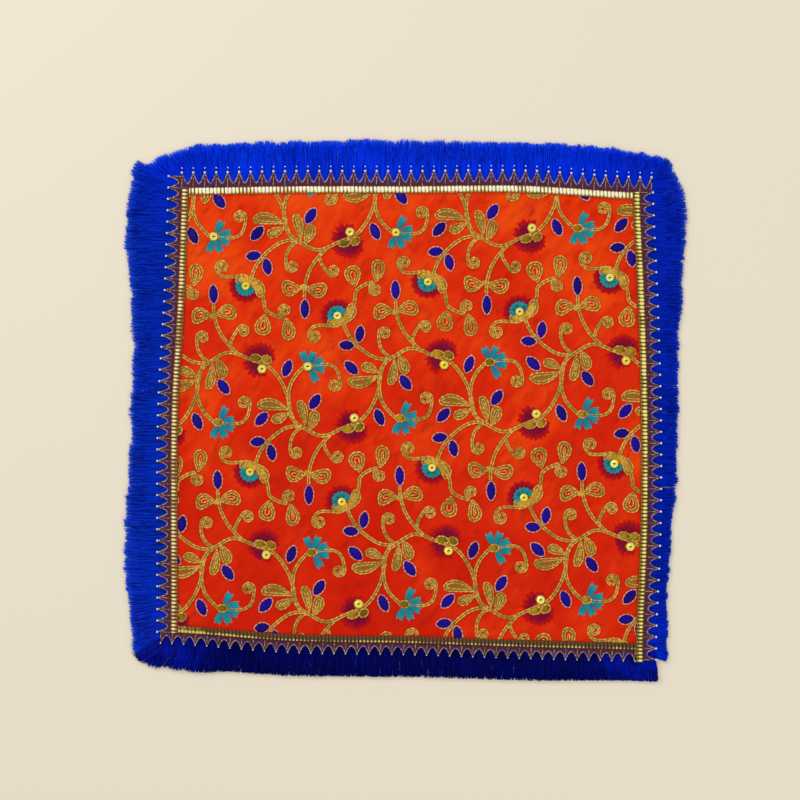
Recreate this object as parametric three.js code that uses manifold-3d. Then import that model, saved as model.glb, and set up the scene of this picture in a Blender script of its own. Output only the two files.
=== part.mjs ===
// An embroidered puja chunri: a small square altar cloth of red velvet, laid flat on a table.
//
// The velvet is worked all over with a vine: stems, curls and drop-shaped leaves of couched gold
// cord, padded indigo leaves, five-petalled flowers, round daisies and large dark flowers. Along
// each of its four edges a maker has sewn three cut lengths of trim: a flat gold braid, a lace
// whose points reach outwards, and a silky fringe that hangs from a header tape beside the
// velvet's edge. Every length is a piece of its own, 0.3 mm from what it is sewn to.
//
// Millimetres. X runs to the right, Y away from the person at the near edge, Z up from the table.
// The origin is on the table, under the middle of the whole cloth.

import * as THREE from 'three';
import { mergeVertices } from 'three/addons/utils/BufferGeometryUtils.js';
import Module from 'manifold-3d';

const wasm = await Module();
wasm.setup();

// ---------------------------------------------------------------- driving sizes

const SEAM_GAP = 0.3;
const CLOTH_THICK = 1.5;
const CLOTH_HEM = 4.5; // the velvet reaches this far outside the middle of the braid
const BRAID_WIDE = 4.4;
const BRAID_THICK = 1.2;
const LACE_THICK = 0.7;
const LACE_PITCH = 7.2; // from one point of the lace to the next
const HEADER_WIDE = 2.8;
const HEADER_LOW = 0.1;
const HEADER_HIGH = 1.3;
const LOCKS_A_SIDE = 44;
const LOCK_ROOT = 1.4; // how deep a lock's root is sewn into the header
const LOCK_UNEVEN = 2.4; // how much the locks' lengths differ
const LEAN_UNEVEN = 2; // how many degrees their directions differ
const BOW_STEPS = 8; // straight steps along each gently bowed edge

// The middle of the braid passes through these corners.
const CORNERS = {
  far_left: { x: -134.9, y: 135.6 },
  far_right: { x: 144.6, y: 132.8 },
  near_right: { x: 146.4, y: -146.4 },
  near_left: { x: -141.7, y: -135.4 },
};

// The four edges, clockwise from above. bow is how far the braid swings outside the straight line
// between its corners, at a quarter, a half and three quarters of the way.
const EDGES = {
  far: { from: 'far_left', to: 'far_right', bow: [1.7, 2.4, 3.4] },
  right: { from: 'far_right', to: 'near_right', bow: [2.6, 4.0, 3.2] },
  near: { from: 'near_right', to: 'near_left', bow: [0.9, 1.3, 2.7] },
  left: { from: 'near_left', to: 'far_left', bow: [1.7, 2.9, 0.8] },
};

// How far each trim runs on past the corner at its start and at its end.
const RUN_ON = {
  far: { braid: [-2.6, -2.6], lace: [2.0, 9.0], header: [6.5, 2.0] },
  right: { braid: [2.2, 9.5], lace: [1.9, 8.0], header: [3.0, 4.5] },
  near: { braid: [-2.6, -2.6], lace: [-2.6, 8.0], header: [10.4, 4.5] },
  left: { braid: [2.2, 2.2], lace: [1.9, 9.0], header: [2.5, 2.5] },
};

// How far outside the middle of the braid the lace's arches start, and how far its points reach.
const LACE_REACH = {
  far: { arch: 5.6, point: 11.4 },
  right: { arch: 5.2, point: 10.0 },
  near: { arch: 4.4, point: 8.9 },
  left: { arch: 5.2, point: 10.3 },
};

// How far the fringe reaches outside the middle of the braid, at shares of the edge's length.
const FRINGE_REACH = {
  far: [
    { at: 0.0, reach: 28 }, { at: 0.1, reach: 29 }, { at: 0.4, reach: 30.5 },
    { at: 0.7, reach: 29 }, { at: 0.9, reach: 28.5 }, { at: 1.0, reach: 26.5 },
  ],
  right: [
    { at: 0.0, reach: 29 }, { at: 0.15, reach: 26 }, { at: 0.35, reach: 22 },
    { at: 0.6, reach: 20 }, { at: 0.75, reach: 17 }, { at: 0.86, reach: 15.5 }, { at: 1.0, reach: 18 },
  ],
  near: [
    { at: 0.0, reach: 21 }, { at: 0.3, reach: 22.5 }, { at: 0.8, reach: 23 }, { at: 1.0, reach: 24 },
  ],
  left: [
    { at: 0.0, reach: 28 }, { at: 0.2, reach: 30.5 }, { at: 0.45, reach: 27 },
    { at: 0.62, reach: 27.5 }, { at: 0.75, reach: 31 }, { at: 0.88, reach: 35.5 }, { at: 1.0, reach: 35 },
  ],
};

// How many degrees the locks lean out at the two ends of an edge, and over how much of its length.
const FRINGE_LEAN = {
  far: { start: 60, end: 12 },
  right: { start: 58, end: 20 },
  near: { start: 4, end: 62 },
  left: { start: 12, end: 22 },
};
const LEAN_SHARE = 0.11;

// ---------------------------------------------------------------- the embroidered repeat

// One sprig, in millimetres from the fork of its stem. The vine repeats it every REPEAT_X and
// REPEAT_Y, and between those copies turned over about the line GLIDE_Y and moved half a repeat.
const REPEAT_X = 112.7;
const REPEAT_Y = 115.1;
const GLIDE_Y = -21.2;
const FIRST_FORK = { x: -7.3, y: -82.3 };
const PATTERN_TURN = 1.3; // degrees

const STEMS = [
  {
    wide: 2.4,
    steps: 8,
    path: [
      [0, 0], [6, 3], [13, 5.2], [20, 4], [29, 0.5], [37, -3.5],
      [44, -10], [49, -18], [51, -26], [52.5, -34], [56.3, -42.4],
    ],
  },
  { wide: 2.2, steps: 3, path: [[-1, 0], [-12, 2.5], [-19, 8], [-24, 14.5], [-27, 22]] },
  { wide: 1.8, steps: 2, path: [[18, 4.5], [13, 11], [8, 20.5], [5.6, 36]] },
  { wide: 1.8, steps: 2, path: [[-5.2, -18], [-4.6, -25], [-2, -31.5], [4, -37.5]] },
  { wide: 1.6, steps: 4, path: [[-23.5, 27], [-20, 34], [-18.6, 42], [-12.4, 45], [-7.4, 47]] },
];

// A curl runs along its path, and from the path's last point it winds inwards round its middle.
const CURLS = [
  { path: [[-0.6, 1.6], [-4.0, 5.0], [-5.8, 10.0], [-5.4, 15.4]], middle: [-1.6, 14.9], turn: -1 },
  { path: [[15.4, 8.4], [16.2, 14.6], [19.6, 20.4]], middle: [23.8, 18.4], turn: -1 },
  { path: [[-33.6, 21.6], [-40.6, 21.4], [-46.4, 19.6]], middle: [-44.8, 14.2], turn: 1 },
  { path: [[13.6, -38.8], [20.9, -38.6], [25.8, -34.6], [27.2, -28.0]], middle: [23.1, -24.6], turn: 1 },
];
const CURL_WIDE = 1.6;
const CURL_STEPS = 6;
const CURL_ANGLE = 280; // degrees of winding
const CURL_SHRINK = 0.5; // its radius at the end, as a share of that at the start
const CORD_HIGH = 0.7;
const SUNK = 0.3; // how far stitches reach down into the velvet

// Padded indigo leaves, pointed at both ends.
const INDIGO_LEAVES = [
  { x: -25.5, y: 8.0, turn: -4 },
  { x: -16.8, y: 15.2, turn: 78 },
  { x: 5.6, y: 41.5, turn: 92 },
  { x: -22.5, y: -5.6, turn: -42 },
  { x: 11.0, y: -15.2, turn: -52 },
  { x: -6.0, y: -37.2, turn: -68 },
];
const INDIGO_LONG = 10.5;
const INDIGO_WIDE = 6.4;
const INDIGO_HIGH = 1.0;

// Leaves filled with rounds of gold cord: pointed at the stem, broad at the tip.
const GOLD_LEAVES = [
  { from: [5.2, 28.2], to: [-8.2, 27.4], wide: 9.6 },
  { from: [6.2, 28.2], to: [19.6, 32.2], wide: 8.8 },
  { from: [-7.0, -10.8], to: [-24.8, -14.8], wide: 5.6 },
  { from: [-7.0, -9.6], to: [-16.6, -3.4], wide: 5.2 },
  { from: [3.0, -1.2], to: [1.2, -16.6], wide: 5.8 },
  { from: [7.6, 1.4], to: [11.6, -12.2], wide: 6.4 },
  { from: [-17.6, 44.4], to: [-20.4, 57.0], wide: 10.0 },
  { from: [-7.6, 46.6], to: [-3.0, 60.0], wide: 8.2 },
];
const GOLD_LEAF_HIGH = 0.8;

const PETALS = [
  { from: [8.4, -35.6], to: [12.8, -28.0], wide: 3.8 },
  { from: [9.8, -37.2], to: [18.2, -35.4], wide: 3.8 },
  { from: [9.6, -39.4], to: [17.6, -43.2], wide: 3.8 },
  { from: [8.6, -40.4], to: [12.4, -47.4], wide: 3.8 },
  { from: [6.4, -40.2], to: [3.6, -47.8], wide: 3.8 },
];
const PETAL_HIGH = 0.7;

// A flower is a low star: its points reach its radius, and it is narrower between them.
const FLOWERS = [
  { x: 35.4, y: -1.0, radius: 9.4, waist: 0.56, points: 6, high: 0.5 }, // large and dark
  { x: -31.0, y: 28.0, radius: 4.6, waist: 1, points: 4, high: 0.9 }, // the daisy
];

// ---------------------------------------------------------------- shared shapes

const smooth = (x) => x * x * (3 - 2 * x);

function turned(vector, degrees) {
  return vector.clone().rotateAround(new THREE.Vector2(), THREE.MathUtils.degToRad(degrees));
}

// The fringe's reach at a share of its edge, from the two rows on either side of it.
function reachAt(rows, at) {
  const next = rows.findIndex((row) => row.at > at);
  const [a, b] = [rows[next - 1], rows[next]];
  return THREE.MathUtils.lerp(a.reach, b.reach, smooth((at - a.at) / (b.at - a.at)));
}

// A seeded generator, so that the uneven lengths of the fringe are the same each time.
function seeded(seed) {
  let state = seed;
  return () => {
    state = (state * 1664525 + 1013904223) >>> 0;
    return state / 4294967296;
  };
}

// Skins a row of rings that have the same number of points, and closes both ends.
function loft(rings) {
  const around = rings[0].length;
  const positions = rings.flat().flatMap((p) => [p.x, p.y, p.z]);
  const index = [];
  for (let ring = 0; ring + 1 < rings.length; ring++) {
    for (let i = 0; i < around; i++) {
      const a = ring * around + i;
      const b = ring * around + ((i + 1) % around);
      index.push(a, b, b + around, a, b + around, a + around);
    }
  }
  const last = (rings.length - 1) * around;
  for (let i = 1; i + 1 < around; i++) {
    index.push(0, i + 1, i, last, last + i, last + i + 1);
  }
  const geometry = new THREE.BufferGeometry();
  geometry.setAttribute('position', new THREE.Float32BufferAttribute(positions, 3));
  geometry.setIndex(index);
  return geometry;
}

// A geometry's triangles as a closed solid, without the empty ones at a lathe's poles.
function toSolid(geometry) {
  const bare = geometry.clone();
  bare.deleteAttribute('normal');
  bare.deleteAttribute('uv');
  const merged = mergeVertices(bare, 1e-4);
  const corners = Array.from(merged.index.array);
  const kept = [];
  for (let i = 0; i < corners.length; i += 3) {
    const [a, b, c] = corners.slice(i, i + 3);
    if (a !== b && b !== c && c !== a) kept.push(a, b, c);
  }
  return new wasm.Manifold(new wasm.Mesh({
    numProp: 3,
    vertProperties: new Float32Array(merged.attributes.position.array),
    triVerts: new Uint32Array(kept),
  }));
}

function joinAll(solids) {
  if (solids.length === 1) return solids[0];
  const half = solids.length >> 1;
  return joinAll(solids.slice(0, half)).add(joinAll(solids.slice(half)));
}

function toGeometry(solid) {
  const mesh = solid.getMesh();
  const geometry = new THREE.BufferGeometry();
  geometry.setAttribute('position', new THREE.Float32BufferAttribute(mesh.vertProperties, 3));
  geometry.setIndex(Array.from(mesh.triVerts));
  geometry.computeVertexNormals();
  return geometry;
}

function flatPlate(points, low, thick) {
  const geometry = new THREE.ExtrudeGeometry(new THREE.Shape(points), { depth: thick, bevelEnabled: false });
  return geometry.translate(0, 0, low);
}

// ---------------------------------------------------------------- the four edges

// An edge gives the place of a point by its distance along the braid and its distance outside it.
function makeEdge(name) {
  const { from, to, bow } = EDGES[name];
  const start = new THREE.Vector2(CORNERS[from].x, CORNERS[from].y);
  const end = new THREE.Vector2(CORNERS[to].x, CORNERS[to].y);
  const along = end.clone().sub(start).normalize();
  const out = new THREE.Vector2(-along.y, along.x);
  const length = start.distanceTo(end);
  const swing = new THREE.SplineCurve([0, ...bow, 0].map((b, i) => new THREE.Vector2((i * length) / 4, b)));
  const place = (s, d) => {
    const share = THREE.MathUtils.clamp(s / length, 0, 1);
    const reach = d + swing.getPoint(share).y;
    return start.clone().addScaledVector(along, s).addScaledVector(out, reach);
  };
  return { name, length, along, out, place };
}

const edges = Object.keys(EDGES).map(makeEdge);

// Where every strip along an edge turns, so that neighbours stay the same distance apart.
function stations(edge, [before, after]) {
  const inside = [];
  for (let i = 0; i <= BOW_STEPS; i++) {
    const s = (i * edge.length) / BOW_STEPS;
    if (s > -before && s < edge.length + after) inside.push(s);
  }
  return [-before, ...inside, edge.length + after];
}

// A strip of even width along an edge, with the section's points given as [outwards, up].
function strip(edge, section, runOn) {
  return loft(stations(edge, runOn).map((s) => section.map(([d, z]) => {
    const p = edge.place(s, d);
    return new THREE.Vector3(p.x, p.y, z);
  })));
}

// The edges' line, moved out by d, all the way round. Each corner is given by the edge it starts.
function outline(d) {
  const points = edges.flatMap((edge) => stations(edge, [d, d]).slice(0, -1).map((s) => edge.place(s, d)));
  return points.reverse();
}

// ---------------------------------------------------------------- the velvet and its vine

// Every copy of the sprig that may touch the velvet, as a function from the sprig's own points.
function sprigPlaces() {
  const places = [];
  for (let i = -2; i <= 2; i++) {
    for (let j = -1; j <= 3; j++) {
      for (const flipped of [false, true]) {
        places.push(([x, y]) => {
          const px = x + i * REPEAT_X + (flipped ? REPEAT_X / 2 : 0);
          const py = (flipped ? 2 * GLIDE_Y - y : y) + j * REPEAT_Y;
          return turned(new THREE.Vector2(px, py), PATTERN_TURN).add(FIRST_FORK);
        });
      }
    }
  }
  return places;
}

// A low body between two points, whose half width follows the shares in girth, half sunk in the velvet.
function bud(from, to, wide, high, girth) {
  const profile = girth.map((g, i) => new THREE.Vector2((g * wide) / 2, i / (girth.length - 1) - 0.5));
  const geometry = new THREE.LatheGeometry(profile, 4);
  geometry.scale(1, from.distanceTo(to), (2 * high) / wide);
  geometry.rotateZ(to.clone().sub(from).angle() - Math.PI / 2);
  return geometry.translate((from.x + to.x) / 2, (from.y + to.y) / 2, CLOTH_THICK);
}

const ALMOND = [0, 1, 1, 0];
const DROP = [0, 0.76, 1, 0];
const PETAL = [0, 1, 0];

// A couched cord: a ridge along a curve, with its lower corner in the velvet.
function cord(points, wide, steps) {
  const curve = new THREE.SplineCurve(points);
  const rings = [];
  for (let i = 0; i <= steps; i++) {
    const p = curve.getPointAt(i / steps);
    const ahead = curve.getTangentAt(i / steps);
    const side = new THREE.Vector2(-ahead.y, ahead.x).multiplyScalar(wide / 2);
    rings.push([
      new THREE.Vector3(p.x + side.x, p.y + side.y, CLOTH_THICK),
      new THREE.Vector3(p.x, p.y, CLOTH_THICK + CORD_HIGH),
      new THREE.Vector3(p.x - side.x, p.y - side.y, CLOTH_THICK),
      new THREE.Vector3(p.x, p.y, CLOTH_THICK - SUNK),
    ]);
  }
  return loft(rings);
}

// The path of a curl, with its winding added.
function wound({ path, middle, turn }) {
  const [lastX, lastY] = path[path.length - 1];
  const start = new THREE.Vector2(lastX - middle[0], lastY - middle[1]);
  const points = [...path];
  for (let i = 1; i <= 4; i++) {
    const angle = start.angle() + (turn * i * THREE.MathUtils.degToRad(CURL_ANGLE)) / 4;
    const radius = start.length() * THREE.MathUtils.lerp(1, CURL_SHRINK, i / 4);
    points.push([middle[0] + radius * Math.cos(angle), middle[1] + radius * Math.sin(angle)]);
  }
  return points;
}

// A low star with its corners alternately at the rim and at the waist.
function flower({ x, y, radius, waist, points, high }, place) {
  const geometry = new THREE.ConeGeometry(radius, 1, points * 2, 1);
  geometry.rotateX(Math.PI / 2);
  const position = geometry.attributes.position;
  for (let i = 0; i < position.count; i++) {
    const angle = Math.atan2(position.getX(i), -position.getY(i));
    const step = Math.round((angle * points) / Math.PI);
    const share = step % 2 === 0 ? 1 : waist;
    position.setXY(i, position.getX(i) * share, position.getY(i) * share);
  }
  const p = place([x, y]);
  return geometry.scale(1, 1, high + SUNK).translate(p.x, p.y, CLOTH_THICK + (high - SUNK) / 2);
}

function sprig(place) {
  const solids = [];
  for (const { wide, steps, path } of STEMS) {
    solids.push(cord(path.map(place), wide, steps));
  }
  for (const curl of CURLS) {
    solids.push(cord(wound(curl).map(place), CURL_WIDE, CURL_STEPS));
  }
  for (const { x, y, turn } of INDIGO_LEAVES) {
    const angle = THREE.MathUtils.degToRad(turn);
    const [ahead, up] = [(Math.cos(angle) * INDIGO_LONG) / 2, (Math.sin(angle) * INDIGO_LONG) / 2];
    const from = place([x - ahead, y - up]);
    const to = place([x + ahead, y + up]);
    solids.push(bud(from, to, INDIGO_WIDE, INDIGO_HIGH, ALMOND));
  }
  for (const { from, to, wide } of GOLD_LEAVES) {
    solids.push(bud(place(from), place(to), wide, GOLD_LEAF_HIGH, DROP));
  }
  for (const { from, to, wide } of PETALS) {
    solids.push(bud(place(from), place(to), wide, PETAL_HIGH, PETAL));
  }
  for (const row of FLOWERS) {
    solids.push(flower(row, place));
  }
  return solids;
}

function boxOf(geometry) {
  geometry.computeBoundingBox();
  return geometry.boundingBox;
}

// The velvet, with the part of the vine that lies inside the braid joined to its face.
function makeCloth() {
  const velvet = flatPlate(outline(CLOTH_HEM), 0, CLOTH_THICK);
  const field = flatPlate(outline(-BRAID_WIDE / 2 - SEAM_GAP), CLOTH_THICK / 2, CLOTH_THICK * 2);
  const stitches = sprigPlaces().flatMap(sprig).filter((body) => boxOf(body).intersectsBox(boxOf(field)));
  const vine = joinAll(stitches.map(toSolid)).intersect(toSolid(field));
  return toGeometry(toSolid(velvet).add(vine));
}

// ---------------------------------------------------------------- the trims

function makeBraid(edge) {
  const low = CLOTH_THICK + SEAM_GAP;
  const half = BRAID_WIDE / 2;
  const shoulder = low + BRAID_THICK / 2;
  const section = [[-half, low], [half, low], [half, shoulder], [0, low + BRAID_THICK], [-half, shoulder]];
  return strip(edge, section, RUN_ON[edge.name].braid);
}

// A band whose outer side has a point at each pitch and a round arch between two points.
function makeLace(edge) {
  const [before, after] = RUN_ON[edge.name].lace;
  const { arch, point } = LACE_REACH[edge.name];
  const inner = BRAID_WIDE / 2 + SEAM_GAP;
  const run = edge.length + before + after;
  const arches = Math.round(run / LACE_PITCH);
  const points = [];
  for (let i = 0; i < arches; i++) {
    const at = (share) => -before + (run * (i + share)) / arches;
    points.push(edge.place(at(0.26), arch));
    points.push(edge.place(at(0.5), point));
    points.push(edge.place(at(0.74), arch));
  }
  const seam = stations(edge, [before, after]).map((s) => edge.place(s, inner));
  return flatPlate([...points, ...seam.reverse()].reverse(), CLOTH_THICK + SEAM_GAP, LACE_THICK);
}

// One lock of the fringe: it leaves the header thin, puffs up past the lace and ends just above the
// table. turn is how far the section has turned with the lock's lean, and puff how much of its
// height rises with its length.
const LOCK = [
  { share: 0.0, turn: 0, wide: 0.8, low: 0.3, high: 1.0, puff: 0 },
  { share: 0.6, turn: 1, wide: 0.86, low: 0.3, high: 1.0, puff: 0.06 },
  { share: 1.0, turn: 1, wide: 0.42, low: 0.4, high: 1.0, puff: 0.01 },
];

function makeLock(root, out, lean, length, wide) {
  const rings = LOCK.map((row) => {
    const middle = root.clone().addScaledVector(turned(out, lean), length * row.share);
    const side = turned(out, 90 + lean * row.turn);
    const half = (wide * row.wide) / 2;
    return [[-half, row.low], [half, row.low], [0, row.high + row.puff * length]].map(([across, z]) => {
      const p = middle.clone().addScaledVector(side, across);
      return new THREE.Vector3(p.x, p.y, z);
    });
  });
  return loft(rings);
}

function makeFringe(edge, seed) {
  const random = seeded(seed);
  const [before, after] = RUN_ON[edge.name].header;
  const inner = CLOTH_HEM + SEAM_GAP;
  const outer = inner + HEADER_WIDE;
  const section = [[inner, HEADER_LOW], [outer, HEADER_LOW], [outer, HEADER_HIGH], [inner, HEADER_HIGH]];
  const solids = [strip(edge, section, [before, after])];
  const pitch = (edge.length + before + after) / LOCKS_A_SIDE;
  const { start, end } = FRINGE_LEAN[edge.name];
  for (let i = 0; i < LOCKS_A_SIDE; i++) {
    const share = (i + 0.5) / LOCKS_A_SIDE;
    const s = -before + (i + 0.5) * pitch;
    const atStart = smooth(THREE.MathUtils.clamp(1 - share / LEAN_SHARE, 0, 1));
    const atEnd = smooth(THREE.MathUtils.clamp(1 - (1 - share) / LEAN_SHARE, 0, 1));
    const lean = start * atStart - end * atEnd + (random() - 0.5) * LEAN_UNEVEN;
    const root = edge.place(s, outer - LOCK_ROOT);
    const reach = reachAt(FRINGE_REACH[edge.name], share) + (random() - 0.5) * LOCK_UNEVEN;
    const length = reach - outer + LOCK_ROOT;
    solids.push(makeLock(root, edge.out, lean, length, pitch));
  }
  return toGeometry(joinAll(solids.map(toSolid)));
}

// ---------------------------------------------------------------- the whole cloth

const RED_VELVET = new THREE.MeshStandardMaterial({ color: 0xd62a08, roughness: 0.85, metalness: 0 });
const GOLD_BRAID = new THREE.MeshStandardMaterial({ color: 0xc9a227, roughness: 0.35, metalness: 0.8 });
const MAROON_LACE = new THREE.MeshStandardMaterial({ color: 0x6a4058, roughness: 0.6, metalness: 0.2 });
const BLUE_SILK = new THREE.MeshStandardMaterial({ color: 0x0a1fae, roughness: 0.6, metalness: 0 });

const chunri = new THREE.Group();

function add(name, geometry, finish) {
  const mesh = new THREE.Mesh(geometry, finish);
  mesh.name = name;
  chunri.add(mesh);
}

add('cloth', makeCloth(), RED_VELVET);
edges.forEach((edge, i) => {
  add(`braid_${edge.name}`, makeBraid(edge), GOLD_BRAID);
  add(`lace_${edge.name}`, makeLace(edge), MAROON_LACE);
  add(`fringe_${edge.name}`, makeFringe(edge, 11 + i), BLUE_SILK);
});

// Brings the middle of the cloth's outline over the origin.
const box = new THREE.Box3().setFromObject(chunri);
const middle = box.getCenter(new THREE.Vector3());
chunri.position.set(-middle.x, -middle.y, 0);
chunri.updateMatrixWorld(true);

export default chunri;
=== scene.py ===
import math
import random

import bmesh
import bpy
from mathutils import Matrix, Vector, noise


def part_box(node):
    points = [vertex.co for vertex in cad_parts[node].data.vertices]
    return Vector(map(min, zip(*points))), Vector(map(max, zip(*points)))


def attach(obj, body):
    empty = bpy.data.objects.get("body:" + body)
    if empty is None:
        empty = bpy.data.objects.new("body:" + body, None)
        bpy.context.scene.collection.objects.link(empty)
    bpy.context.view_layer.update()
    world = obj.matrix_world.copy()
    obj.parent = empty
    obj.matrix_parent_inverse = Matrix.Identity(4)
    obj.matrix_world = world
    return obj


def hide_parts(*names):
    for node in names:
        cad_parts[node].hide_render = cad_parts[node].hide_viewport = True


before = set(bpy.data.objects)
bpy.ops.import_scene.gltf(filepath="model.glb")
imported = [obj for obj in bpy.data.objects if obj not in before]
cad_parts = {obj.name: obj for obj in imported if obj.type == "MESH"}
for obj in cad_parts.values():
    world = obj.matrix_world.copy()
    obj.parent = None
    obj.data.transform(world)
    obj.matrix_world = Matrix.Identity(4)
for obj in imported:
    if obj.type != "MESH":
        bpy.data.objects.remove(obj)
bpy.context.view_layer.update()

# -------- the velvet panel
# The main piece is a square of orange-red velvet with a satin shine, cut a little larger than the
# square of braid that is sewn round it. It lies flat on its backing, with a few soft creases left
# from folding, and small puckers where the braid's stitches draw it in.

MM = 0.001
VELVET_THICK = 1.5 * MM
VELVET_HEM = 4.5 * MM  # how far the velvet reaches outside the middle of the braid
VELVET_CELLS = 144
BRAID_HALF = 2.2 * MM
SEAM_GAP = 0.3 * MM
SHARP_FROM = math.radians(50)  # folds sharper than this show as edges

# The middle of the braid passes through these corners, in millimetres.
CORNERS = {
    "far_left": (-134.9, 135.6),
    "far_right": (144.6, 132.8),
    "near_right": (146.4, -146.4),
    "near_left": (-141.7, -135.4),
}
# The four edges, clockwise from above: the corner each starts from, the corner it ends at, and how
# far its braid swings outside the straight line at a quarter, a half and three quarters of the way.
EDGES = {
    "far": ("far_left", "far_right", (1.7, 2.4, 3.4)),
    "right": ("far_right", "near_right", (2.6, 4.0, 3.2)),
    "near": ("near_right", "near_left", (0.9, 1.3, 2.7)),
    "left": ("near_left", "far_left", (1.7, 2.9, 0.8)),
}
# Creases in the velvet: from and to, how far the middle bows to the left of that, height and width.
CREASES = [
    ((-118, 96), (-40, 124), 4, 0.75, 3.2),
    ((-96, 60), (18, 22), -7, 0.85, 3.8),
    ((-20, 118), (64, 44), 6, 0.90, 3.6),
    ((30, 92), (128, 104), -5, 0.70, 3.4),
    ((10, 34), (52, -16), 4, 0.85, 3.0),
    ((62, 26), (132, -22), -6, 0.80, 3.8),
    ((-128, 6), (-66, -30), 5, 0.70, 3.4),
    ((-74, -44), (-6, -66), -5, 0.80, 3.8),
    ((-122, -82), (-60, -118), 4, 0.65, 3.0),
    ((22, -52), (92, -78), 5, -0.50, 5.5),
    ((36, -104), (104, -126), -4, 0.75, 3.2),
    ((104, -40), (132, -106), 6, 0.80, 3.4),
]
PUCKER_HIGH = 0.42 * MM
PUCKER_PITCH = 7.0 * MM
PUCKER_DEEP = 11.0 * MM  # how far in from the braid the puckers reach
PUCKER_ROWS = 7.3  # sets the sides' patterns of puckers apart
DENT_DEEPEST = 0.5 * MM
FLAT_RIM = 6 * MM  # the velvet flattens this near the braid


def smooth(share):
    share = min(max(share, 0.0), 1.0)
    return share * share * (3 - 2 * share)


def between(a, b, c, d, t):
    """A smooth curve's place between b and c, with a and d on either side of them."""
    v, w = (c - a) / 2, (d - b) / 2
    return b + v * t + (3 * (c - b) - 2 * v - w) * t**2 + (2 * (b - c) + v + w) * t**3


def turned(vector, degrees):
    return Matrix.Rotation(math.radians(degrees), 2) @ vector


class Edge:
    """One side of the cloth. A place by it is given by s, along its braid, and d, outside it."""

    def __init__(self, name):
        start, end, bow = EDGES[name]
        self.name, self.start = name, Vector(CORNERS[start]) * MM
        run = Vector(CORNERS[end]) * MM - self.start
        self.length, self.along = run.length, run.normalized()
        self.out = Vector((-self.along.y, self.along.x))
        self.bow = [b * MM for b in (0, *bow, 0)]

    def swing(self, share):
        last = len(self.bow) - 1
        step = min(max(share, 0.0), 0.9999) * last
        i = int(step)
        a, b, c, d = (self.bow[min(max(k, 0), last)] for k in (i - 1, i, i + 1, i + 2))
        return between(a, b, c, d, step - i)

    def place(self, s, d):
        return self.start + self.along * s + self.out * (d + self.swing(s / self.length))

    def beside(self, p):
        """The s and d of a point."""
        s = (p - self.start).dot(self.along)
        return s, (p - self.start).dot(self.out) - self.swing(s / self.length)

    def hem(self, share, d):
        """A point of the line that lies d outside, from corner to corner of that line."""
        return self.place(-d + share * (self.length + 2 * d), d)


edges = {name: Edge(name) for name in EDGES}


def on_panel(u, v, d=VELVET_HEM):
    """A point of the square whose sides lie d outside the braid: u from left to right, v to far."""
    far, near = edges["far"].hem(u, d), edges["near"].hem(1 - u, d)
    right, left = edges["right"].hem(1 - v, d), edges["left"].hem(v, d)
    near_right, near_left, far_left, far_right = (
        edges[name].hem(0, d) for name in ("near", "left", "far", "right")
    )
    sides = near.lerp(far, v) + left.lerp(right, u)
    return sides - near_left.lerp(near_right, u).lerp(far_left.lerp(far_right, u), v)


# The frame's cloth node says where the middle of the panel goes.
shares = [t / 100 for t in range(101)]
rim = [on_panel(*uv) for t in shares for uv in ((t, 0), (t, 1), (0, t), (1, t))]
rim_middle = Vector([(min(p[k] for p in rim) + max(p[k] for p in rim)) / 2 for k in (0, 1)])
cloth_low, cloth_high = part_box("cloth")
shift = ((cloth_low + cloth_high) / 2).xy - rim_middle
for edge in edges.values():
    edge.start = edge.start + shift


def rise(p):
    """How far creases and puckers lift the velvet at a point. It lies flat under the trims."""
    beside = [edge.beside(p) for edge in edges.values()]
    inside = -max(d for s, d in beside) - BRAID_HALF
    if inside <= 0:
        return 0.0
    high = 0.0
    for start, end, bow, crease_high, wide in CREASES:
        a, b = Vector(start) * MM, Vector(end) * MM
        run = b - a
        t = (p - a).dot(run) / run.length_squared
        if 0 < t < 1:
            across = run.normalized().cross(p - a) - bow * MM * 4 * t * (1 - t)
            high += crease_high * MM * math.sin(math.pi * t) * math.exp(-((across / (wide * MM)) ** 2))
    for i, (s, d) in enumerate(beside):
        deep = (-d - BRAID_HALF) / PUCKER_DEEP
        if deep < 1:
            wave = noise.noise(Vector((s / PUCKER_PITCH, i * PUCKER_ROWS, deep)))
            high += PUCKER_HIGH * wave * 4 * deep * (1 - deep)
    return max(high, -DENT_DEEPEST) * smooth(inside / FLAT_RIM)


def on_velvet(p, lift=0.0):
    """The point over p that is lift above the velvet's face."""
    return Vector((p.x, p.y, VELVET_THICK + rise(p) + lift))


def srgb(red, green, blue):
    """A colour on a screen's scale of 0 to 255 as light."""
    parts = [x / 255 for x in (red, green, blue)]
    return (*[x / 12.92 if x <= 0.04045 else ((x + 0.055) / 1.055) ** 2.4 for x in parts], 1.0)


class Value:
    """A number or colour that changes over a surface. Python's signs add its Math nodes."""

    def __init__(self, finish, socket):
        self.finish, self.socket = finish, socket

    def __add__(self, other):
        return self.finish.math("ADD", self, other)

    def __sub__(self, other):
        return self.finish.math("SUBTRACT", self, other)

    def __rsub__(self, other):
        return self.finish.math("SUBTRACT", other, self)

    def __mul__(self, other):
        return self.finish.math("MULTIPLY", self, other)

    __rmul__ = __mul__


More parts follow.
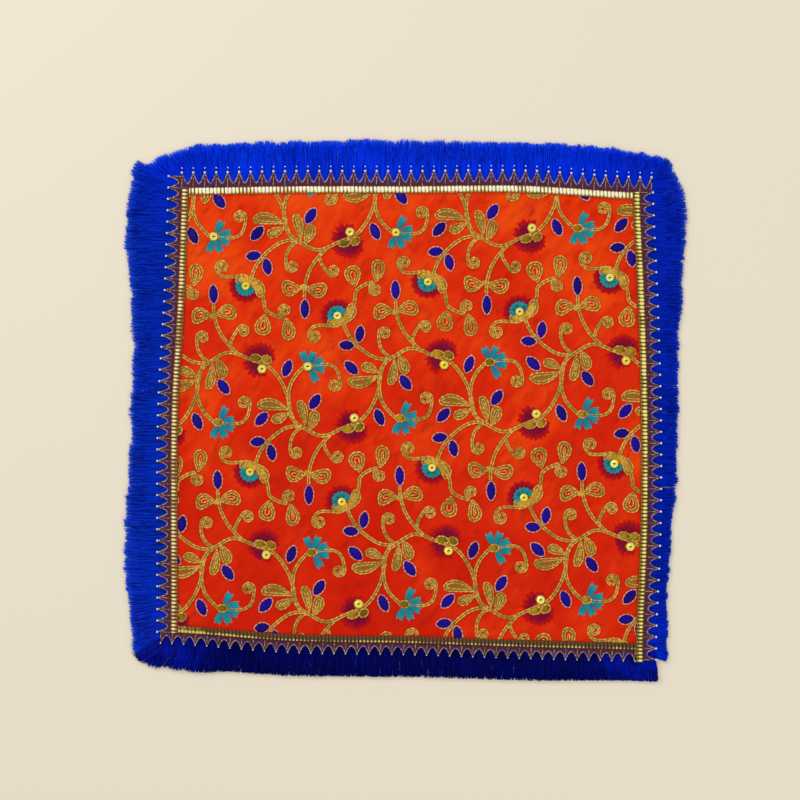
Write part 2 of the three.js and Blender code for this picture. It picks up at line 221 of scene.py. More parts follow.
class Finish:
    """A material, with its nodes added by one method and its fixed values set on the shader."""

    def __init__(self, name, **fixed):
        self.material = bpy.data.materials.new(name)
        self.material.use_nodes = True
        self.tree = self.material.node_tree
        self.shader = self.tree.nodes["Principled BSDF"]
        self.paint(**fixed)

    def paint(self, **sockets):
        """Sets or links the shader's own sockets, with _ for the spaces in their names."""
        for key, given in sockets.items():
            self.feed(self.shader.inputs[key.replace("_", " ")], given)

    def feed(self, socket, given):
        if isinstance(given, Value):
            self.tree.links.new(given.socket, socket)
        else:
            socket.default_value = given

    def node(self, kind, settings, inputs, output=0):
        made = self.tree.nodes.new("ShaderNode" + kind)
        for key, setting in settings.items():
            setattr(made, key, setting)
        for key, given in inputs.items():
            self.feed(made.inputs[key], given)
        return Value(self, made.outputs[output])

    def place(self, stretch=(1, 1, 1), degrees=0.0):
        """Object coordinates, for a pattern that is stretched and then turned."""
        spot = self.node("TexCoord", {}, {}, "Object")
        inputs = {"Vector": spot, "Scale": stretch, "Rotation": (0, 0, math.radians(degrees))}
        return self.node("Mapping", {"vector_type": "TEXTURE"}, inputs)

    def axis(self, name):
        """Where a point lies along X, Y or Z, in metres."""
        return self.node("SeparateXYZ", {}, {0: self.place()}, name)

    def attribute(self, name):
        return self.node("Attribute", {"attribute_name": name}, {}, "Fac")

    def uv(self, axis):
        spot = self.node("UVMap", {"uv_map": "UVMap"}, {})
        return self.node("SeparateXYZ", {}, {0: spot}, axis)

    def cloud(self, grain, detail=2.0, place=None):
        """Uneven shade, in patches about as wide as grain."""
        spot = place or self.place()
        return self.node("TexNoise", {}, {"Vector": spot, "Scale": 1 / grain, "Detail": detail})

    def mix(self, mask, first, second):
        return self.node("Mix", {"data_type": "RGBA"}, {0: mask, 6: first, 7: second}, 2)

    def step(self, value, low, high):
        """0 below low, 1 above high, and smooth between them."""
        settings = {"interpolation_type": "SMOOTHSTEP"}
        return self.node("MapRange", settings, {"Value": value, "From Min": low, "From Max": high})

    def math(self, operation, *given):
        return self.node("Math", {"operation": operation}, dict(enumerate(given)))

    def wave(self, value):
        """Goes from 0 to 1 and back once for each whole number of value."""
        return self.math("PINGPONG", value, 0.5) * 2

    def bump(self, height, deep, strength=1.0):
        inputs = {"Height": height, "Distance": deep, "Strength": strength}
        self.paint(Normal=self.node("Bump", {}, inputs))


def added(name, data):
    """A new object in the scene."""
    made = bpy.data.objects.new(name, data)
    bpy.context.scene.collection.objects.link(made)
    return made


def as_mesh(bm, name):
    mesh = bpy.data.meshes.new(name)
    bm.to_mesh(mesh)
    bm.free()
    return mesh


def piece(bm, name, finish, nodes=("cloth",)):
    """Makes a shape a finished piece, which rides on the cloth and stands for those nodes."""
    mesh = as_mesh(bm, name)
    mesh.shade_smooth()
    mesh.set_sharp_from_angle(angle=SHARP_FROM)
    mesh.materials.append(finish.material)
    made = added(name, mesh)
    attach(made, "root")
    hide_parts(*nodes)
    return made


def fill(bm):
    bmesh.ops.holes_fill(bm, edges=[e for e in bm.edges if e.is_boundary])


def mend(bm):
    """Joins points that meet, and turns the faces outwards."""
    bmesh.ops.remove_doubles(bm, verts=bm.verts, dist=0.001 * MM)
    bmesh.ops.recalc_face_normals(bm, faces=bm.faces)


def grid(cells, shape):
    """An open sheet, with its points put where shape says for the shares u and v."""
    bm = bmesh.new()
    bm.loops.layers.uv.new("UVMap")
    bmesh.ops.create_grid(bm, x_segments=cells[0], y_segments=cells[1], size=0.5, calc_uvs=True)
    for vert in bm.verts:
        vert.co = shape(vert.co.x + 0.5, vert.co.y + 0.5)
    return bm


velvet_shape = grid((VELVET_CELLS, VELVET_CELLS), lambda u, v: on_velvet(on_panel(u, v)))
face_rim = [e for e in velvet_shape.edges if e.is_boundary]
rim_made = bmesh.ops.extrude_edge_only(velvet_shape, edges=face_rim)["geom"]
for part in rim_made:
    if isinstance(part, bmesh.types.BMVert):
        part.co.z = 0.0
under_rim = [e for e in rim_made if isinstance(e, bmesh.types.BMEdge) and e.is_boundary]
bmesh.ops.contextual_create(velvet_shape, geom=under_rim)
bmesh.ops.recalc_face_normals(velvet_shape, faces=velvet_shape.faces)

velvet = Finish("red velvet", Roughness=0.6, Sheen_Weight=0.04, Sheen_Roughness=0.35)
velvet.paint(Sheen_Tint=srgb(255, 80, 20), Specular_IOR_Level=0.06)
DEEP_RED, BRIGHT_RED, ORANGE_RED = srgb(206, 26, 0), srgb(226, 46, 2), srgb(240, 76, 6)
CRUSHED_RED = srgb(164, 22, 2)  # where the pile is pressed down
# Painted light: the velvet grows brighter and more orange towards the far side, where the light falls, and
# lighter diagonal streaks stand for its sheen. The large patches vary at random.
patches_and_painted_light = velvet.cloud(52 * MM, 3.0) + 1.1 * velvet.axis("Y")
painted_sheen_streaks = velvet.cloud(6 * MM, 3.0, velvet.place((2.6, 1, 1), 52))
warm = velvet.mix(velvet.step(patches_and_painted_light + 0.35 * painted_sheen_streaks, 0.36, 0.88), DEEP_RED, BRIGHT_RED)
warm = velvet.mix(velvet.step(patches_and_painted_light + 0.5 * painted_sheen_streaks, 0.72, 1.15), warm, ORANGE_RED)
pressed = velvet.step(velvet.cloud(5 * MM, 3.0, velvet.place((2, 1, 1), 48)), 0.5, 0.78)
velvet.paint(Base_Color=velvet.mix(0.55 * pressed, warm, CRUSHED_RED))
nap = velvet.cloud(0.5 * MM, 2.0, velvet.place((1, 2.5, 1)))
velvet.bump(nap + 2.5 * velvet.cloud(4 * MM), 0.12 * MM, 0.5)
velvet_panel = piece(velvet_shape, "velvet_panel", velvet)

# -------- the couched vine
# Stems and curls are drawn in fine twisted gold cord, laid down in pairs and caught with small
# stitches. One sprig is repeated over the panel, and turned over between, so that the stems run
# on from one to the next as a vine. The braid covers the ends.

REPEAT_X, REPEAT_Y = 112.7, 115.1
GLIDE_Y = -21.2  # turned-over sprigs are mirrored in this line and moved half a repeat on
FIRST_FORK = (-7.3, -82.3)
PATTERN_TURN = 1.3
CORD_THICK = 1.05 * MM
CORD_FLAT = 0.72  # its height as a share of its width
CORD_STEP = 0.8 * MM
CORD_TWIST = math.radians(45)  # for each step
PAIR_APART = 1.36 * MM
CURL_APART = 1.16 * MM
CORD_LIFT = 0.3 * MM  # of its middle, over the velvet
GROUND_WIDE, GROUND_HIGH, GROUND_LIFT = 2.2 * MM, 0.5 * MM, 0.06 * MM  # the stitches under a pair, partly painted shade beside and between its cords
FIELD_EDGE = -BRAID_HALF - 0.1 * MM
SPRIG_MIDDLE, SPRIG_REACH = (3, 0), 62 * MM

STEMS = [
    [(1.6, -1.4), (6.7, 1.8), (11.8, 4.6), (16.4, 5.2), (21.3, 3.8), (27, 1.2), (34.0, -1.4), (40.2, -4.8),
     (45.4, -11), (49.2, -18.4), (51.4, -26), (52.8, -34), (56.3, -42.4)],
    [(2.6, -0.4), (-2.4, -1.0), (-7.8, 0.2), (-12.6, 3.0), (-19, 8.4), (-23.6, 14.6), (-26.6, 21.6)],
    [(21.5, 3.4), (16.4, 8.4), (12.1, 13.7), (8.8, 19.8), (7.0, 25.6), (6.2, 30), (6.1, 35)],
    [(-5.2, -18), (-4.4, -25), (-1.2, -31.5), (4.4, -37.4)],
    [(-25.8, 22.2), (-21.2, 28.8), (-19.2, 35.2), (-18.2, 41.4), (-12.8, 45.2), (-7.4, 46.8)],
    [(-5.2, -18), (-5.3, -13), (-4.5, -8.8), (-2.4, -5.0), (0.4, -2.2), (4.8, 0.6)],
]
# A curl's path, the middle that its end winds round, and the way it winds.
CURLS = [
    ([(2.2, 0.0), (-1.6, 2.8), (-4.3, 7.8), (-4.8, 14.2)], (-1.1, 14.9), -1),
    ([(16.0, 8.0), (16.8, 13.1), (20.6, 19.2)], (24.2, 18.2), -1),
    ([(-26, 22.2), (-33.6, 20.4), (-40, 20.8), (-44.8, 20.0), (-47.7, 16.7)], (-44.4, 14.4), 1),
    ([(9.6, -38.2), (13.6, -38.9), (20.9, -38.6), (25.4, -35.0), (27.2, -27.4)], (23.5, -26.2), 1),
    ([(-7.2, 46.4), (-9.4, 44.0)], (-6.2, 42.2), 1),
]
WINDING, WIND_SHRINK, WIND_STEPS = 530, 0.22, 10


def sprig_places():
    """For each sprig a function that puts its points in place."""
    places = []
    for i in range(-2, 3):
        for j in range(-1, 4):
            for flipped in (False, True):
                def put(x, y, i=i, j=j, flipped=flipped):
                    across = x + (i + 0.5 * flipped) * REPEAT_X
                    up = (2 * GLIDE_Y - y if flipped else y) + j * REPEAT_Y
                    return (turned(Vector((across, up)), PATTERN_TURN) + Vector(FIRST_FORK)) * MM + shift
                places.append(put)
    return places


def outside(p):
    """How far a point lies outside the middle of the braid."""
    return max(edge.beside(p)[1] for edge in edges.values())


sprigs = [put for put in sprig_places() if outside(put(*SPRIG_MIDDLE)) < SPRIG_REACH]


def even(points, step, fine=12):
    """A smooth line through the points, as even steps of about that length."""
    last, dense = len(points) - 1, []
    for i in range(last):
        a, b, c, d = (points[min(max(k, 0), last)] for k in (i - 1, i, i + 1, i + 2))
        dense += [between(a, b, c, d, j / fine) for j in range(fine)]
    dense.append(points[-1])
    gone = [0.0]
    for p, q in zip(dense, dense[1:]):
        gone.append(gone[-1] + (q - p).length)
    count, k, found = max(2, round(gone[-1] / step)), 0, []
    for i in range(count + 1):
        at = gone[-1] * i / count
        while k < len(dense) - 2 and gone[k + 1] < at:
            k += 1
        found.append(dense[k].lerp(dense[k + 1], (at - gone[k]) / max(gone[k + 1] - gone[k], 1e-9)))
    return found


def beside_line(points, away):
    """The line that runs away to the left of a flat line."""
    last = len(points) - 1
    ahead = [(points[min(i + 1, last)] - points[max(i - 1, 0)]).normalized() for i in range(last + 1)]
    return [p + Vector((-t.y, t.x)) * away for p, t in zip(points, ahead)]


def inside_runs(points):
    """The stretches of a flat line that the braid doesn't cover."""
    runs, run = [], []
    for p in points:
        if outside(p) < FIELD_EDGE:
            run.append(p)
        else:
            runs.append(run)
            run = []
    return [run for run in [*runs, run] if len(run) > 2]


def wound(put, path, middle, turn):
    """A curl's points: its path, and then the winding round its middle."""
    start = Vector(path[-1]) - Vector(middle)
    points = list(path)
    for i in range(1, WIND_STEPS + 1):
        share = i / WIND_STEPS
        p = turned(start, turn * WINDING * share) * (1 + (WIND_SHRINK - 1) * share) + Vector(middle)
        points.append(tuple(p))
    return [put(*p) for p in points]


def round_section(sides, wide, high):
    """The flat closed line that a tube is swept from."""
    turns = [2 * math.pi * i / sides for i in range(sides)]
    points = [(wide / 2 * math.cos(t), high / 2 * math.sin(t), 0, 1) for t in turns]
    line = bpy.data.curves.new("section", "CURVE")
    line.dimensions = "2D"
    spline = line.splines.new("POLY")
    spline.points.add(sides - 1)
    spline.points.foreach_set("co", [x for p in points for x in p])
    spline.use_cyclic_u = True
    return added("section", line)


def tubes(runs, sides, wide, high, twist=0.0):
    """One shape of many tubes. A run is a line's points and its thickness at each, as shares."""
    outline = round_section(sides, wide, high)
    line = bpy.data.curves.new("tubes", "CURVE")
    line.dimensions, line.bevel_mode, line.use_fill_caps = "3D", "OBJECT", True
    line.bevel_object = outline
    for points, shares in runs:
        spline = line.splines.new("POLY")
        spline.points.add(len(points) - 1)
        spline.points.foreach_set("co", [x for p in points for x in (*p, 1)])
        spline.points.foreach_set("radius", shares)
        spline.points.foreach_set("tilt", [i * twist for i in range(len(points))])
    holder = added("tubes", line)
    found = holder.evaluated_get(bpy.context.evaluated_depsgraph_get())
    bm = bmesh.new()
    bm.from_mesh(bpy.data.meshes.new_from_object(found))
    bpy.data.objects.remove(holder)
    bpy.data.objects.remove(outline)
    mend(bm)
    return bm


def couched(lines, lift):
    """Runs of thread on the velvet along flat lines, cut off at the braid."""
    runs = [run for line in lines for run in inside_runs(line)]
    return [([on_velvet(p, lift) for p in run], [1.0] * len(run)) for run in runs]


def cords(lines, lift=CORD_LIFT, thick=CORD_THICK):
    """Twisted cord along flat lines."""
    return tubes(couched(lines, lift), 4, thick, thick * CORD_FLAT, CORD_TWIST)


def ground(lines):
    """The wide flat stitches under the cord. Under the stems they are also painted shade beside and between
    the pair of cords.
    """
    lines = [line[::2] + line[-1:] for line in lines]
    return tubes(couched(lines, GROUND_LIFT), 4, GROUND_WIDE, GROUND_HIGH)


stem_lines, curl_lines = [], []
for put in sprigs:
    stem_lines += [even([put(*p) for p in path], CORD_STEP) for path in STEMS]
    curl_lines += [even(wound(put, *curl), CORD_STEP) for curl in CURLS]
pairs = [beside_line(line, side * PAIR_APART / 2) for line in stem_lines for side in (-1, 1)]
pairs += [beside_line(line, side * CURL_APART / 2) for line in curl_lines for side in (-1, 1)]

gold_cord = Finish("gold cord", Metallic=0.4, Roughness=0.45)
BRIGHT_GOLD, GOLD, OLIVE = srgb(240, 192, 88), srgb(200, 144, 42), srgb(124, 94, 10)
# Painted highlights: small bright glints along the twisted cord. The large olive patches are worn gold.
glint = gold_cord.cloud(1.3 * MM, 1.0)
glinting_gold = gold_cord.mix(gold_cord.step(glint, 0.4, 0.6), GOLD, BRIGHT_GOLD)
worn = gold_cord.step(gold_cord.cloud(9 * MM), 0.46, 0.72)
gold_cord.paint(Base_Color=gold_cord.mix(worn * 0.55, glinting_gold, OLIVE))
gold_cord.bump(gold_cord.cloud(0.35 * MM, 1.0), 0.05 * MM, 0.6)
piece(cords(pairs), "vine_cords", gold_cord)

# Olive ground stitches: in the leaves the thread's own colour, under the stems partly painted shade along the
# cords.
ground_stitch_and_shade = Finish("olive ground stitches", Roughness=0.7, Metallic=0.2)
dull, warm_brown = srgb(122, 88, 4), srgb(160, 116, 14)
ground_stitch_and_shade.paint(Base_Color=ground_stitch_and_shade.mix(ground_stitch_and_shade.cloud(1.5 * MM), dull, warm_brown))
piece(ground(stem_lines + curl_lines), "vine_ground_stitches_and_shade", ground_stitch_and_shade)

# -------- the gold leaves
# Each leaf is rounds of the same cord, one inside the other: an outline that is pointed at the
# stem and broad at the tip, a second round, and a short line down the middle.

# From and to, width, and how far the leaf's middle line bows to the left.
GOLD_LEAVES = [
    ((5.0, 28.2), (-7.8, 25.8), 10.0, -2.2),
    ((6.6, 28.2), (20.4, 29.0), 9.8, 1.8),
    ((-5.4, -11.0), (-25.0, -14.6), 8.0, 2.0),
    ((-5.0, -9.6), (-16.2, -4.6), 6.6, -0.6),
    ((4.6, -0.8), (1.4, -17.4), 6.4, 0.8),
    ((6.8, 1.8), (11.6, -10.8), 7.4, 0.8),
    ((-18.2, 44.0), (-20.4, 57.4), 10.6, 0.6),
    ((-6.0, 46.4), (-4.2, 60.8), 9.0, -0.8),
    ((-26.4, 21.8), (-36.6, 23.4), 5.8, 1.0),
    ((-26.0, 21.4), (-20.6, 33.8), 7.0, -1.4),
]
LEAF_ROUNDS = [(0.0, 0.5), (6.0, 2.15), (9.0, 3.9)]  # the least width that has a round, and its inset
VEIN_WIDTH = 7.5  # narrower leaves have a line down the middle
VEIN = (0.3, 0.5, 0.72)  # where it has its points, as shares of the leaf's length
LEAF_ROUND_STEPS = 22
BROAD_LEAF = 8.5  # broader leaves show the velvet between their rounds
BROAD_FILLS, FULL_FILLS = [1.35], [1.35, 2.6]  # the insets of their ground stitches
LEAF_FULLEST = 0.77  # the widest that the drop's formula comes to


def leaf_spot(put, leaf, along, across):
    """A point of a leaf: along its bowed middle line, and across it as a share of its half width."""
    start, end, wide, bow = leaf
    a, b = Vector(start), Vector(end)
    side = Vector((-(b - a).y, (b - a).x)).normalized()
    p = a.lerp(b, along) + side * (bow * 4 * along * (1 - along) + across * wide / 2)
    return put(*p)


def leaf_round(put, leaf, inset):
    """A drop-shaped round, drawn in from the leaf's outline."""
    start, end, wide, bow = leaf
    base = inset / (Vector(end) - Vector(start)).length
    points = []
    for i in range(LEAF_ROUND_STEPS + 1):
        turn = 2 * math.pi * i / LEAF_ROUND_STEPS
        along = base + (1 - 2 * base) * (1 - math.cos(turn)) / 2
        across = math.sin(turn) * math.sin(turn / 2) / LEAF_FULLEST
        points.append(leaf_spot(put, leaf, along, across * (1 - 2 * inset / wide)))
    return even(points, CORD_STEP, fine=4)


leaf_lines, leaf_fills = [], []
for put in sprigs:
    for leaf in GOLD_LEAVES:
        wide = leaf[2]
        insets = BROAD_FILLS if wide > BROAD_LEAF else FULL_FILLS
        leaf_fills += [leaf_round(put, leaf, inset) for inset in insets if inset < wide / 2]
        leaf_lines += [leaf_round(put, leaf, inset) for least, inset in LEAF_ROUNDS if wide >= least]
        if wide < VEIN_WIDTH:
            vein = [leaf_spot(put, leaf, along, 0) for along in VEIN]
            leaf_lines.append(even(vein, CORD_STEP))
piece(cords(leaf_lines), "gold_leaf_cords", gold_cord)
piece(ground(leaf_fills), "leaf_ground_stitches", ground_stitch_and_shade)

# -------- the indigo leaves
# Six to a sprig: pointed at both ends, worked in indigo satin stitch over a little padding, and
# bordered with a cord that is paler and pinker than the vine's.

INDIGO_LEAVES = [  # the middle, the way it points, and its length and width with its border
    ((-24.8, 8.0), -6, 10.8, 7.2),
    ((-16.5, 14.9), 80, 11.8, 7.0),
    ((6.2, 41.6), 91, 13.2, 6.8),
    ((-22.2, -5.9), -46, 12.2, 7.4),
    ((11.1, -15.9), -56, 12.2, 7.4),
    ((-5.6, -37.0), -68, 12.4, 7.2),
]
LEAF_POINT = 0.66  # 0.5 makes an oval and 1 a sharp lens
INDIGO_HIGH = 1.0 * MM
BORDER_THICK = 0.9 * MM
BORDER_STEPS = 9
BORDER_STEP = 0.66 * MM
LEAF_INSET = 1.3 * BORDER_THICK / MM  # how much shorter and narrower the satin stitch is
LEAF_ROOM, PETAL_ROOM = 4.0 * MM, 3.0 * MM  # how near the braid a leaf's or petal's middle may be
TRIM_STEP, TRIM_REACH = 12 * MM, 9 * MM  # what the braid covers is cut off straight, bit by bit


def lens(high, point, rounds):
    """A padded shape 1 mm long and wide, that lies along X with its flat side down."""
    bm = bmesh.new()
    uv = bm.loops.layers.uv.new("UVMap")
    bmesh.ops.create_uvsphere(bm, u_segments=rounds[1], v_segments=rounds[0], radius=0.5)
    bmesh.ops.rotate(bm, verts=bm.verts, cent=(0, 0, 0), matrix=Matrix.Rotation(math.pi / 2, 3, "Y"))
    for vert in bm.verts:
        narrow = max(0.0, 1 - 4 * vert.co.x**2) ** (point - 0.5)
        vert.co = (vert.co.x * MM, vert.co.y * narrow * MM, vert.co.z * narrow * 2 * high)
    parts = [*bm.verts, *bm.edges, *bm.faces]
    low = (0, 0, -0.25 * high)
    bmesh.ops.bisect_plane(bm, geom=parts, plane_co=low, plane_no=(0, 0, -1), clear_outer=True)
    fill(bm)
    mend(bm)
    for face in bm.faces:
        for loop in face.loops:
            loop[uv].uv = loop.vert.co.xy / MM
    return as_mesh(bm, "shape")


def lying(p, q, wide, lift=0.0):
    """Puts a lens on the velvet from p to q."""
    ahead = (q - p).normalized()
    x, y = Vector((*ahead, 0)), Vector((-ahead.y, ahead.x, 0))
    spot = Matrix((x, y, (0, 0, 1))).transposed().to_4x4()
    spot.translation = on_velvet((p + q) / 2, lift)
    return spot @ Matrix.Diagonal(((q - p).length / MM, wide, 1.0, 1.0))


def repeated(mesh, spots, seed):
    """One shape of many copies. Each has a shade of its own, kept in the attribute lot."""
    bm = bmesh.new()
    lot, chance = bm.verts.layers.float.new("lot"), random.Random(seed)
    for spot in spots:
        copy = mesh.copy()
        copy.transform(spot)
        known = len(bm.verts)
        bm.from_mesh(copy)
        bpy.data.meshes.remove(copy)
        bm.verts.ensure_lookup_table()
        shade = chance.random()
        for vert in bm.verts[known:]:
            vert[lot] = shade
    return bm


def trimmed(bm):
    """Cuts off what would lie under the braid."""
    for edge in edges.values():
        def over(face):
            return any(edge.beside(v.co.xy)[1] > FIELD_EDGE for v in face.verts)

        def along(face):
            return edge.beside(face.calc_center_median().xy)[0]

        for spot in {round(along(f) / TRIM_STEP) for f in bm.faces if over(f)}:
            s = spot * TRIM_STEP
            ahead = (edge.place(s + MM, 0) - edge.place(s - MM, 0)).normalized()
            near = [f for f in bm.faces if abs(along(f) - s) <= TRIM_REACH and over(f)]
            parts = {*near, *(e for f in near for e in f.edges), *(v for f in near for v in f.verts)}
            bmesh.ops.bisect_plane(
                bm, geom=list(parts), plane_co=(*edge.place(s, FIELD_EDGE), 0),
                plane_no=(-ahead.y, ahead.x, 0), clear_outer=True,
            )
        fill(bm)
    return bm


def ends_of(put, middle, turn, long):
    """The two ends of a leaf, round or petal."""
    half = turned(Vector((long / 2, 0)), turn)
    return put(*(Vector(middle) - half)), put(*(Vector(middle) + half))


def border(put, middle, turn, long, wide, point):
    """The line of a border whose outer side has that length and width."""
    p, q = ends_of(put, middle, turn, long - BORDER_THICK / MM)
    ahead = q - p
    across = Vector((-ahead.y, ahead.x)).normalized() * (wide * MM - BORDER_THICK) / 2
    sides = []
    for way in (1, -1):
        turns = [math.pi * i / (BORDER_STEPS - 1) for i in range(BORDER_STEPS)]
        side = [
            (p + q) / 2 - way * ahead * math.cos(t) / 2 + way * across * math.sin(t) ** (2 * point)
            for t in turns
        ]
        sides += even(side, BORDER_STEP)[len(sides) > 0:]
    return sides


indigo_spots, border_lines = [], []
for put in sprigs:
    for middle, turn, long, wide in INDIGO_LEAVES:
        p, q = ends_of(put, middle, turn, long - LEAF_INSET)
        if outside((p + q) / 2) < FIELD_EDGE + LEAF_ROOM:
            indigo_spots.append(lying(p, q, wide - LEAF_INSET))
            border_lines.append(border(put, middle, turn, long, wide, LEAF_POINT))

indigo = Finish("indigo satin stitch", Roughness=0.45, Specular_IOR_Level=0.08, Anisotropic=0.4)
stitches = indigo.wave(indigo.uv("X") * 22 + indigo.uv("Y") * 3)
tone = indigo.attribute("lot") * 0.5 + stitches * 0.3 + 0.2 * indigo.cloud(3 * MM)
indigo.paint(Base_Color=indigo.mix(tone, srgb(16, 0, 84), srgb(36, 0, 158)))
indigo.bump(stitches, 0.12 * MM, 0.8)
indigo_shape = trimmed(repeated(lens(INDIGO_HIGH, LEAF_POINT, (14, 10)), indigo_spots, 3))
piece(indigo_shape, "indigo_leaves", indigo)

rose_cord = Finish("rose-gold cord", Metallic=0.35, Roughness=0.42)
rose_glint = rose_cord.step(rose_cord.cloud(1.2 * MM), 0.4, 0.6)
rose_cord.paint(Base_Color=rose_cord.mix(rose_glint, srgb(204, 130, 100), srgb(236, 182, 146)))
piece(cords(border_lines, thick=BORDER_THICK), "indigo_leaf_borders", rose_cord)

# -------- the stitched flowers
# Teal flowers with five pointed petals, daisies with a teal fan over a maroon one, and large
# flowers of soft maroon petals. All are satin stitch. Their middles are small rounds filled with
# olive and gold stitches, with gold cord laid round them.

FLOWER = (7.2, -37.9)
PETALS = [(60, 11.6), (12, 11.4), (-24, 11.4), (-66, 11.2), (-110, 10.6)]  # the way each points and its reach
PETAL_STITCHES, PETAL_SPREAD, STITCH_WIDE = 4, 24, 2.4  # side by side in each petal
DAISY = (-30.1, 26.5)
DAISY_FACES = 116  # the way its fans open, in degrees
# A fan's spread in degrees, its stitches, where they start and end, and their width.
TEAL_FAN, MAROON_FAN = (200, 26, 0.8, 7.0, 1.3), (190, 24, 2.4, 11.2, 2.2)
PETAL_FROM = 2.0  # where a petal's stitches start
DARK_FLOWER = (34.4, 0.2)
DARK_PETALS = [
    (200, 11.8), (147, 12.0), (114, 11.2), (80, 11.4), (46, 11.2), (12, 9.6), (238, 12.4), (274, 11.2),
]
DARK_STITCHES, DARK_SPREAD, DARK_WIDE = 4, 26, 2.8
ROUNDS = [  # middle, turn, length and width with the cord
    ((31.6, 1.2), -12, 8.4, 5.8),
    ((38.4, 0.4), -36, 7.0, 5.6),
    ((35.2, -5.4), 0, 6.0, 5.8),
    ((7.2, -37.9), -4, 6.8, 5.4),
]
ROUND_POINT = 0.54
ROUND_LIFT, ROUND_INSET = 0.45 * MM, 1
UNEVEN = 0.05  # how much shorter each of a fan's shorter stitches is
# The teal flowers that have a sequin, and how far off those places may be.
SEQUINED_FLOWERS, SEQUINED_REACH = [(-117, 108), (-5, 110), (-59, 27)], 8 * MM
GOLD_FILLS = [  # from, to, width
    ((-26.6, 21.6), (-36.2, 23.6), 4.4),
    ((-25.6, 21.8), (-20.8, 33.0), 5.2),
    ((-26.4, 20.6), (-30.6, 27.0), 5.0),
    ((3.2, 27.2), (8.4, 29.2), 3.4),
]


def fan(put, middle, faces, spread, count, inner, outer, wide):
    """Rows for the uneven stitches of a fan, each from inner to outer away from its middle."""
    rows = []
    for i in range(count):
        way = turned(Vector((1, 0)), faces + spread * ((i + 0.5) / count - 0.5))
        reach = outer * (1 - UNEVEN * ((i * 5) % 3))
        rows.append((put(*(Vector(middle) + way * inner)), put(*(Vector(middle) + way * reach)), wide))
    return rows


def stitched(name, rows, high, point, shades, seed, lift=0.0):
    """Satin-stitched petals. A row has a petal's two ends and its width. The last shade is its tip's."""
    limit = FIELD_EDGE + PETAL_ROOM
    spots = [lying(p, q, wide, lift) for p, q, wide in rows if outside((p + q) / 2) < limit]
    thread = Finish(name.replace("_", " "), Roughness=0.5, Specular_IOR_Level=0.08)
    strokes = thread.wave(thread.uv("Y") * 9 + thread.uv("X") * 1.5)
    shade = thread.mix(thread.attribute("lot"), shades[0], shades[1])
    shade = thread.mix(thread.step(thread.uv("X"), -0.05, 0.46), shade, shades[3])
    thread.paint(Base_Color=thread.mix(strokes * 0.28, shade, shades[2]))
    thread.bump(strokes, 0.1 * MM, 0.7)
    shape = trimmed(repeated(lens(high * MM, point, (8, 8)), spots, seed))
    piece(shape, name, thread)


teal_rows, fan_rows, maroon_rows, dark_rows, fill_rows, round_rows = [], [], [], [], [], []
ring_lines, sequin_places = [], []
for put in sprigs:
    for turn, reach in PETALS:
        teal_rows += fan(put, FLOWER, turn, PETAL_SPREAD, PETAL_STITCHES, PETAL_FROM, reach, STITCH_WIDE)
    fan_rows += fan(put, DAISY, DAISY_FACES, *TEAL_FAN)
    maroon_rows += fan(put, DAISY, DAISY_FACES, *MAROON_FAN)
    for turn, reach in DARK_PETALS:
        dark_rows += fan(put, DARK_FLOWER, turn, DARK_SPREAD, DARK_STITCHES, PETAL_FROM, reach, DARK_WIDE)
    fill_rows += [(put(*start), put(*end), wide) for start, end, wide in GOLD_FILLS]
    for middle, turn, long, wide in ROUNDS:
        round_rows.append((*ends_of(put, middle, turn, long - ROUND_INSET), wide - ROUND_INSET))
        ring_lines.append(border(put, middle, turn, long, wide, ROUND_POINT))
    sequin_places += [put(*DAISY), put(*ROUNDS[2][0])]
    if any((put(*FLOWER) - Vector(spot) * MM).length < SEQUINED_REACH for spot in SEQUINED_FLOWERS):
        sequin_places.append(put(*FLOWER))

DARK_TEAL, PALE_TEAL = srgb(6, 100, 108), srgb(36, 168, 174)
OLD_GOLD, STRAW, OLIVE_DARK = srgb(196, 150, 26), srgb(226, 186, 50), srgb(104, 84, 6)
maroons = (srgb(142, 0, 26), srgb(116, 0, 54), srgb(104, 0, 22), srgb(206, 12, 4))
teals = (srgb(10, 150, 152), srgb(38, 120, 152), DARK_TEAL, PALE_TEAL)
fan_teals = (PALE_TEAL, DARK_TEAL, DARK_TEAL, PALE_TEAL)
olives = (OLIVE_DARK, OLD_GOLD, OLIVE_DARK, OLIVE_DARK)
stitched("dark_flowers", dark_rows, 0.3, 0.62, maroons, 5)
stitched("maroon_fans", maroon_rows, 0.3, 0.7, maroons, 6)
stitched("teal_fans", fan_rows, 0.6, 0.8, fan_teals, 7, 0.12 * MM)
stitched("teal_petals", teal_rows, 0.7, 0.85, teals, 8)
stitched("gold_fills", fill_rows, 0.55, 0.7, (OLD_GOLD, STRAW, OLIVE_DARK, OLD_GOLD), 15)
stitched("olive_fills", round_rows, 0.6, 0.55, olives, 16, 0.1 * MM)
piece(cords(ring_lines, ROUND_LIFT), "flower_ring_cords", gold_cord)

# -------- the sequins
# Round cupped sequins of bright gold foil, each sewn down through the hole in its middle with a
# knot of dark thread. There is one on every daisy, one on a round of every dark flower and one on
# the middle of a few teal flowers.

SEQUIN_RINGS = [(0.55, 0.0), (1.35, 0.14), (1.9, 0.35), (2.4, 0.26)]  # radius and height
SEQUIN_THICK = 0.18 * MM
SEQUIN_SIDES = 20
SEQUIN_LIFT = 0.95 * MM
SEQUIN_LEAN = 7  # degrees
KNOT_LONG, KNOT_WIDE, KNOT_HIGH = 1.9, 1.1, 0.5 * MM

